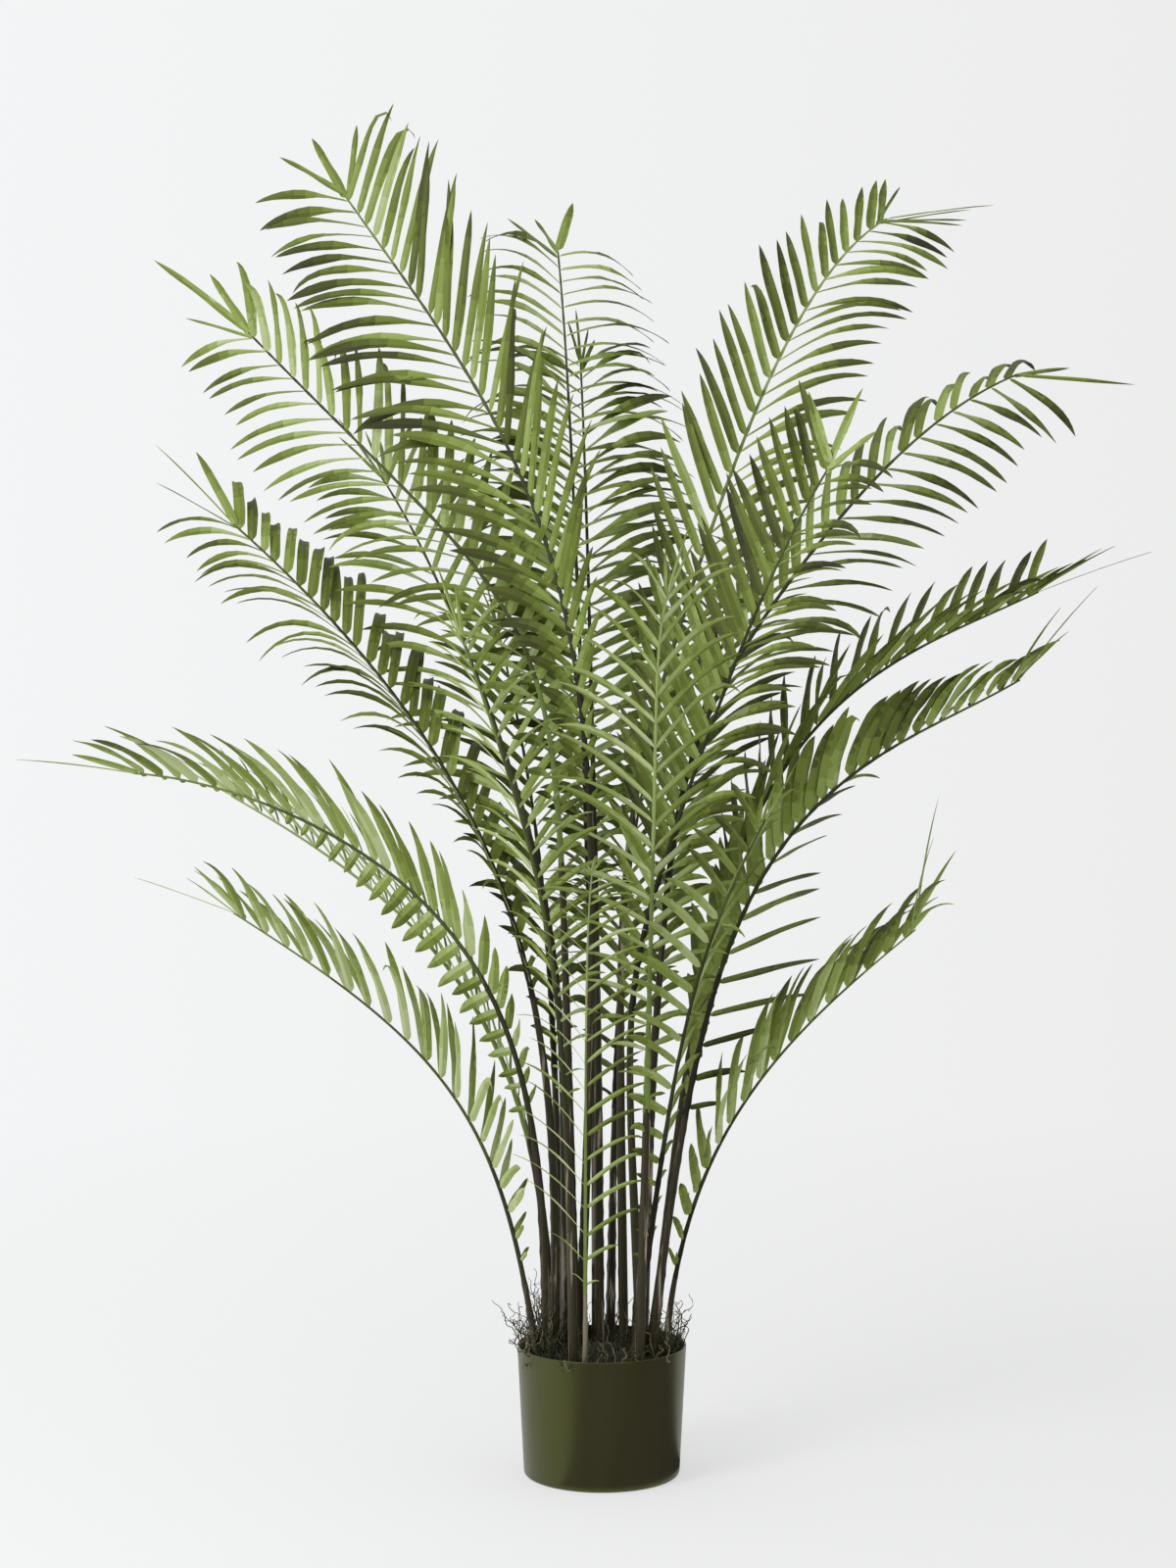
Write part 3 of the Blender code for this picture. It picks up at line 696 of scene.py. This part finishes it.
LOOKS = {
    "top_left": Look(
        5.2,
        # The first row's shade of 0.9 is painted shade: its drooping leaflets are darkened as if their
        # undersides lay in shadow.
        Row(-30, 50, 1.25, 1, sag=1.35, shade=0.9),
        Row(15, 5, 0.85, taper=-0.3),
        ((1, 27, 0, 1, 0.8), (-1, 6, 0, 1.1, 0.95), (-1, 42, -10, 1, 0.85)),
        1.15,
    ),
    "high_left": Look(
        4.0,
        Row(-25, 50, 0.85, 1),
        Row(10, 5, 0.95),
        ((1, 6, 0, 1.35, 0.8), (-1, 12, -10, 0.8, 0.9), (1, 30, 0, 0.7, 0.4)),
    ),
    "middle_left": Look(
        4.8,
        Row(-10, 30, 0.7, 1, shade=0.5, low=0.5),
        Row(-10, 0, 1.0, hook=2.5, shade=1.4),
        ((-1, 6, 10, 1.2, 0.15), (-1, 21, 20, 0.9, 0.8), (1, 40, 10, 0.9, 0.3)),
        1.3,
    ),
    "low_left": Look(
        3.9,
        Row(-5, 30, 0.95, low=0.7, high=0.95),
        Row(0, 0, 1.15, sag=0.5, shade=0.4, low=2.15, high=2.0, lift=-120, taper=3.4),
        ((1, 6, 10, 1, 0.15), (-1, 14, 10, 0.6, 0.5)),
        1.25,
    ),
    "low_back_left": Look(1.8, Row(-5, -10, 0.35, low=0.4), Row(50, 0, 0.35, low=0.4)),
    "lowest_left": Look(
        2.6,
        Row(-5, 20, 0.85),
        Row(-20, 20, 0.7),
        ((-1, 21, -60, 1, 0.15), (1, 9, 0, 0.6, 0.2), (1, 24, 0, 0.7, 0.5)),
    ),
    "inner_left": Look(4.0, Row(-20, 50, 0.8, 1, low=0.75), Row(-20, 30, 0.8)),
    "top_back": Look(
        4.6,
        Row(-20, 0, 1.2, 2, sag=1.2),
        Row(-35, -10, 1.2, 2, sag=1.2),
        ((-1, 18, 0, 1.3, 0.9), (1, 42, 0, 0.8, 0.7), (1, 63, -10, 1.2, 0.5)),
        1.4,
    ),
    "middle_back": Look(6.0, Row(-30, 30, 1.2, 1), Row(-40, 30, 1.2, 1, sag=1.2), (), 1.35),
    "top_right": Look(
        5.6,
        Row(25, 10, 0.85, sag=0.4),
        Row(-25, 50, 0.9, 1),
        (
            (-1, 39, 20, 1.1, 0.3),
            (-1, 27, -20, 1, 0.3),
            (-1, 33, 0, 0.95, 0.4),
            (-1, 20, -10, 1.2, 0.2),
            (1, 20, 0, 0.6, 0.4),
        ),
    ),
    "high_right": Look(
        6.6,
        Row(-45, 0, 0.95, 1, sag=0.6, low=1.2, high=1.2),
        Row(-5, 0, 0.95),
        ((1, 27, -40, 1.1, 0.4), (1, 12, 0, 0.6, 0.4)),
    ),
    "inner_right": Look(
        5.6,
        Row(-15, 0, 0.9, sag=0.6, shade=-0.4),
        Row(-30, 10, 0.9, 1, shade=0.2),
        ((1, 57, 0, 0.8, 0.9), (1, 12, -10, 0.9, 0.8), (-1, 30, 0, 0.8, 0.8)),
        1.45,
        # The end shade of -3 is partly the tips' fresher green and partly painted light: it makes the tip
        # leaflets paler than their shading leaves them.
        -3,
    ),
    "middle_right": Look(
        6.2,
        Row(20, 10, 0.85, shade=1.6),
        Row(0, 20, 0.75, sag=0.5, shade=-0.6, low=0.25, high=0.35),
        ((-1, 39, -50, 1.1, 0.15), (1, 15, -20, 0.9, 0.3), (-1, 20, -20, 0.9, 0.4)),
    ),
    "low_right": Look(
        6.2,
        Row(5, -10, 0.6, sag=0.45, shade=2, low=1.65, high=1.0, taper=0.2, every=2),
        Row(30, 0, 1.35, shade=-0.5, low=0.85, high=0.85),
        ((-1, 39, -10, 1, 0.15), (1, 24, 0, 0.7, 0.3), (-1, 60, -20, 0.9, 0.3)),
        1.5,
    ),
    "lowest_right": Look(
        4.6,
        Row(-20, 20, 0.95, shade=0.8),
        Row(-10, 30, 0.95),
        ((-1, 48, 10, 1.1, 0.15), (-1, 60, -20, 1.1, 0.15), (-1, 30, 0, 0.8, 0.4)),
    ),
    "lowest_front": Look(4.6, Row(-5, 10, 0.36), Row(-45, 0, 0.26, 1, shade=-0.6, low=0.75, high=0.75)),
    "tall_front": Look(3.8, Row(-20, 0, 0.75), Row(-45, 10, 0.7)),
    "front_left": Look(4.4, Row(-60, 20, 0.6), Row(-5, 0, 0.5)),
    "front_right": Look(5.2, Row(40, 0, 0.5), Row(30, 0, 0.8)),
    "low_back": Look(6.4, Row(-20, 20, 0.85), Row(-10, 20, 0.85)),
    "back_right": Look(6.0, Row(-40, 20, 0.9), Row(5, 10, 0.9)),
    "back_left": Look(6.2, Row(0, 10, 0.85), Row(-40, 20, 0.85)),
}


# %% Where the leaflets sit and how long they are
def leaflet_length(frond, share):
    """Scales of 0.16 of the longest leaflet grow in a smooth step, and the last have 0.7 of it."""
    grown = SCALE_SHARE + (1.0 - SCALE_SHARE) * smooth(share / frond.grown)
    kept = 1.0 - (1.0 - LAST_SHARE) * smooth((share - SHORTER_FROM) / (1.0 - SHORTER_FROM))
    return frond.leaflet / 1000 * grown * kept


def add_frond(frond, seed):
    """One frond's leaflets: both rows of pairs, and the few at the tip."""
    draw = np.random.default_rng(seed)
    spine = spines[frond.name]
    look = LOOKS[frond.name]
    pairs = round(frond.leafy / 1000 / PAIR_SPACING * look.density)
    share = np.tile((np.arange(pairs) + 0.5) / pairs, 2)
    hand = np.repeat([1.0, -1.0], pairs)
    count = len(share)
    leafy = spine.length - spine.leaf_start
    rows = np.where(hand[:, None] > 0, look.first, look.second)
    roll, twist, width, thin, hook, sag, shade, low, high, lift, taper, every = rows.T
    stand = frond.out_low * low * (1.0 - share) + frond.out_high * high * share
    row_length = np.where(hand > 0, frond.first * (1.0 + frond.taper * (0.5 - share)), frond.second)
    length = leaflet_length(frond, share) * row_length * draw.normal(1.0, 0.045, count)
    length *= np.maximum(1.0 + taper * (0.5 - share), 0.1)
    breadth = LEAFLET_WIDTH * width * np.clip(length / FULL_WIDTH_FROM, 0.5, 1.0)
    leaf = {
        "place": spine.leaf_start + share * leafy + draw.normal(0, 0.0016, count),
        "hand": hand,
        "length": length,
        "width": breadth * draw.normal(1.0, 0.07, count),
        "out": np.radians(stand + draw.normal(0, 2.4, count)),
        "rise": np.radians(frond.rise + lift + draw.normal(0, 3.0, count)),
        "sag": frond.sag * sag * draw.normal(1.0, 0.12, count) + 0.35 * (draw.random(count) < 0.08),
        "hook": hook * draw.random(count) + 1.2 * (draw.random(count) < 0.06),
        "roll": np.radians(roll + draw.normal(0, 8.0, count)),
        "twist": np.radians(twist + draw.normal(0, 10.0, count)),
        "wave": draw.random(count) * 2 * math.pi,
        "thin": thin,
        # The frond's tone carries painted light and shade as well as the print's green: paler on left fronds,
        # darker on right ones.
        "tone": look.tone + shade + draw.normal(0, 1.3, count),
    }
    kept = np.tile(np.arange(pairs), 2) % every == 0
    ends = np.array(look.ends or FILAMENTS, dtype=float)
    last = {
        "place": spine.length - END_SPACING * np.arange(len(ends)),
        "hand": ends[:, 0],
        "length": frond.end / 1000 * ends[:, 3],
        "width": LEAFLET_WIDTH * ends[:, 4],
        "out": np.radians(ends[:, 1]),
        "rise": np.radians(frond.rise + ends[:, 2]),
        "sag": np.full(len(ends), END_SAG),
        "tone": np.full(len(ends), look.tone + look.end_shade),
    }
    none = np.zeros(len(ends))
    leaf = {name: np.concatenate([value[kept], last.get(name, none)]) for name, value in leaf.items()}
    points = leaflet_points(spine, leaf)
    faces = repeated(leaflet_faces(), len(points), points.shape[1])
    return add_piece(
        "leaflets_" + frond.name,
        points.reshape(-1, 3),
        faces,
        leaf_materials,
        leaflet_tones(leaf).reshape(-1),
        node=["frond_" + frond.name],
        slot="frond_green",
    )


# %% Build the fronds
leaflets = [add_frond(frond, seed) for seed, frond in enumerate(FRONDS)]
print("leaflets have", sum(len(piece.data.polygons) for piece in leaflets), "faces")

# %% [markdown]
# ## Moss fibres
#
# Thin, curly fibres of dried moss stick out among the stems and over the rim. Each is a thin tube along a
# path whose direction wanders: a first direction plus three waves of seeded size, added up step by step.

# %% Fibres
# Each tuft has an azimuth and its spread in degrees, how far out its fibres start as a share of the plug's
# radius and the spread of that, how many there are, and the shortest and longest in metres.
TUFTS = (
    (0, 360, 0.6, 0.3, 230, 0.012, 0.050),
    (192, 50, 0.82, 0.07, 90, 0.040, 0.115),
    (350, 40, 0.86, 0.06, 40, 0.040, 0.095),
    (285, 40, 0.93, 0.04, 14, 0.025, 0.060),
    (100, 60, 0.88, 0.06, 30, 0.030, 0.080),
)
FIBRE_ROWS = 22
FIBRE_RADIUS = 0.0008
FIBRE_TURNS = (1.3, 3.1, 5.5)
PALE_EVERY = 6
fibre_coat, _ = add_material("dried_moss_fibre", "#353720", 0.9)
fibre_pale, _ = add_material("dried_moss_fibre_pale", "#746a50", 0.9)


def fibre_points(draw, azimuth, spread, out, out_spread, number, shortest, longest):
    """Points of a tuft's fibres: centre + radius (cos a, sin a) across the way, three corners a row."""
    angle = np.radians(azimuth + spread * (draw.random(number) - 0.5))
    radius = fill_radius * np.clip(draw.normal(out, out_spread, number), 0.05, 0.98)
    outward = np.stack([np.cos(angle), np.sin(angle), np.zeros(number)], axis=1)
    start = radius[:, None] * outward + np.array([0.0, 0.0, FILL_TOP - 0.002])
    lean = draw.normal(0.0, 0.2, number)[:, None]
    first = unit(outward * lean + np.array([0.0, 0.0, 1.2]) + draw.normal(0, 0.3, (number, 3)))
    share = np.linspace(0, 1, FIBRE_ROWS)[None, :, None]
    waves = 0.0
    for turns in FIBRE_TURNS:
        size, phase = draw.normal(0, 0.8, (2, number, 1, 3))
        waves = waves + size * np.sin(2 * math.pi * turns * share + 4 * phase)
    ways = unit(first[:, None] + waves * (0.3 + 0.5 * share))
    length = draw.uniform(shortest, longest, number)[:, None, None]
    path = start[:, None] + np.cumsum(ways, axis=1) * length / FIBRE_ROWS
    across = unit(np.cross(ways, np.array([0.3, 0.5, 0.8])))
    third = np.cross(ways, across)
    corners = np.arange(3) * 2 * math.pi / 3
    thickness = FIBRE_RADIUS * (1.15 - share[..., None] * 0.7)
    ring = across[:, :, None] * np.cos(corners)[:, None] + third[:, :, None] * np.sin(corners)[:, None]
    return path[:, :, None] + thickness * ring


fibre_draw = np.random.default_rng(5)
fibres = np.concatenate([fibre_points(fibre_draw, *tuft) for tuft in TUFTS])
fibres = fibres.reshape(-1, FIBRE_ROWS * 3, 3)
fibre_faces = [(2, 1, 0)]
for row in range(FIBRE_ROWS - 1):
    for corner in range(3):
        low, other = row * 3 + corner, row * 3 + (corner + 1) % 3
        fibre_faces.append((low, other, other + 3, low + 3))
fibre_faces.append(tuple((FIBRE_ROWS - 1) * 3 + corner for corner in range(3)))
fibre_numbers = np.repeat(np.arange(len(fibres)) % PALE_EVERY == 0, len(fibre_faces)).astype(int)
add_piece(
    "moss_fibres",
    fibres.reshape(-1, 3),
    repeated(fibre_faces, len(fibres), FIBRE_ROWS * 3),
    [fibre_coat, fibre_pale],
    fibre_numbers,
    sharp=80.0,
    slot="fill",
)
print(len(fibres), "fibres reach", round(float(fibres[..., 2].max()), 3), "m")

# %% [markdown]
# ## Studio
#
# The picture has a nearly white backdrop and a pale floor that runs into it, with light from all round and
# a little more from the upper left. The world gives the even light and the backdrop's tone. The floor is
# paper that glows a little, as if lit from all round, so its shadows stay pale, and it fades into the
# backdrop, so no edge shows from any side. Black cloth on the floor in front only shows in what is glossy: it
# keeps the pot's front dark, so the bright paper beside it draws the light band down the pot's left side.

# %% Floor and backdrop
FLOOR_REACH = 4.0
FLOOR_FADE = (0.7, 2.6)
GLOW = 0.6


def add_stage(name, points, faces, material):
    """Make a mesh that belongs to the studio, and not to the plant."""
    mesh = bpy.data.meshes.new(name)
    mesh.from_pydata(points, [], faces)
    mesh.materials.append(material)
    made = bpy.data.objects.new(name, mesh)
    bpy.context.scene.collection.objects.link(made)
    return made


def paper_tone(tree, place, reach):
    """Colour of the paper: a ramp along X from the cool left at -reach to the darker right at reach."""
    x = add_node(tree, "ShaderNodeSeparateXYZ", {"Vector": place}).outputs["X"]
    along = add_node(tree, "ShaderNodeMapRange", {"Value": x}, From_Min=-reach, From_Max=reach)
    ramp = add_node(tree, "ShaderNodeValToRGB", {"Fac": along.outputs["Result"]})
    ramp.color_ramp.elements[0].color = linear("#f4f5f6")
    ramp.color_ramp.elements[1].color = linear("#ecedec")
    return ramp.outputs["Color"]


floor_material, floor_shader = add_material("pale_paper_floor", "#e9eae9", 0.9, Specular_IOR_Level=0.1)
tree = floor_material.node_tree
place = add_node(tree, "ShaderNodeTexCoord").outputs["Object"]
distance = add_node(tree, "ShaderNodeVectorMath", {0: place}, operation="LENGTH")
fade = add_node(tree, "ShaderNodeMapRange", {"Value": distance.outputs["Value"]})
fade.inputs["From Min"].default_value, fade.inputs["From Max"].default_value = FLOOR_FADE
clear = add_node(tree, "ShaderNodeBsdfTransparent")
glow = add_node(tree, "ShaderNodeEmission", {"Color": paper_tone(tree, place, 0.6)})
paper = add_node(tree, "ShaderNodeMixShader", {1: floor_shader.outputs[0], 2: glow.outputs[0]}, Fac=GLOW)
mixed = add_node(
    tree, "ShaderNodeMixShader", {0: fade.outputs["Result"], 1: paper.outputs[0], 2: clear.outputs[0]}
)
tree.links.new(mixed.outputs[0], tree.nodes["Material Output"].inputs["Surface"])
floor_corners = [(x * FLOOR_REACH, y * FLOOR_REACH, 0) for x, y in ((-1, -1), (1, -1), (1, 1), (-1, 1))]
floor = add_stage("floor", floor_corners, [(0, 1, 2, 3)], floor_material)

world = bpy.data.worlds.new("studio")
world.use_nodes = True
bpy.context.scene.world = world
backdrop = world.node_tree.nodes["Background"]
direction = add_node(world.node_tree, "ShaderNodeTexCoord").outputs["Generated"]
world.node_tree.links.new(paper_tone(world.node_tree, direction, 0.2), backdrop.inputs["Color"])
print("paper is", FLOOR_REACH * 2, "m wide")


# %% Lamps
def add_softbox(name, place, target, width, height, power):
    """A rectangular lamp that looks from its place to a target, both in metres."""
    lamp = bpy.data.lights.new(name, "AREA")
    lamp.shape = "RECTANGLE"
    lamp.size, lamp.size_y = width, height
    lamp.energy = power
    box = bpy.data.objects.new(name, lamp)
    box.location = place
    way = np.array(target) - np.array(place)
    box.rotation_euler = (
        math.atan2(math.hypot(way[0], way[1]), -way[2]),
        0.0,
        math.atan2(way[1], way[0]) - math.pi / 2,
    )
    bpy.context.scene.collection.objects.link(box)
    return box


add_softbox("key_softbox", (-2.4, -2.2, 2.8), (0.0, 0.0, 0.7), 1.2, 1.6, 60.0)

# %% Black cloth
# A fan on the floor between two angles, drawn up at its far end, that only shows in reflections. Felt is matt
# and nearly black, so the gloss over it stays dark.
CLOTH_ANGLES = (-126.0, 24.0)
CLOTH_PROFILE = ((0.092, 0.0015), (2.2, 0.0015), (2.4, 2.0))
CLOTH_STEPS = 24
turn = np.radians(np.linspace(*CLOTH_ANGLES, CLOTH_STEPS + 1))
cloth_points = [(r * math.cos(a), r * math.sin(a), height) for r, height in CLOTH_PROFILE for a in turn]
cloth_faces = [
    (low, low + CLOTH_STEPS + 1, low + CLOTH_STEPS + 2, low + 1)
    for row in range(len(CLOTH_PROFILE) - 1)
    for low in range(row * (CLOTH_STEPS + 1), row * (CLOTH_STEPS + 1) + CLOTH_STEPS)
]
black_felt, _ = add_material("black_felt", "#050505", 1.0, Specular_IOR_Level=0.0)
cloth = add_stage("black_cloth", cloth_points, cloth_faces, black_felt)
for kind in ("camera", "diffuse", "transmission", "shadow"):
    setattr(cloth, "visible_" + kind, False)
bpy.context.scene.view_settings.view_transform = "Standard"
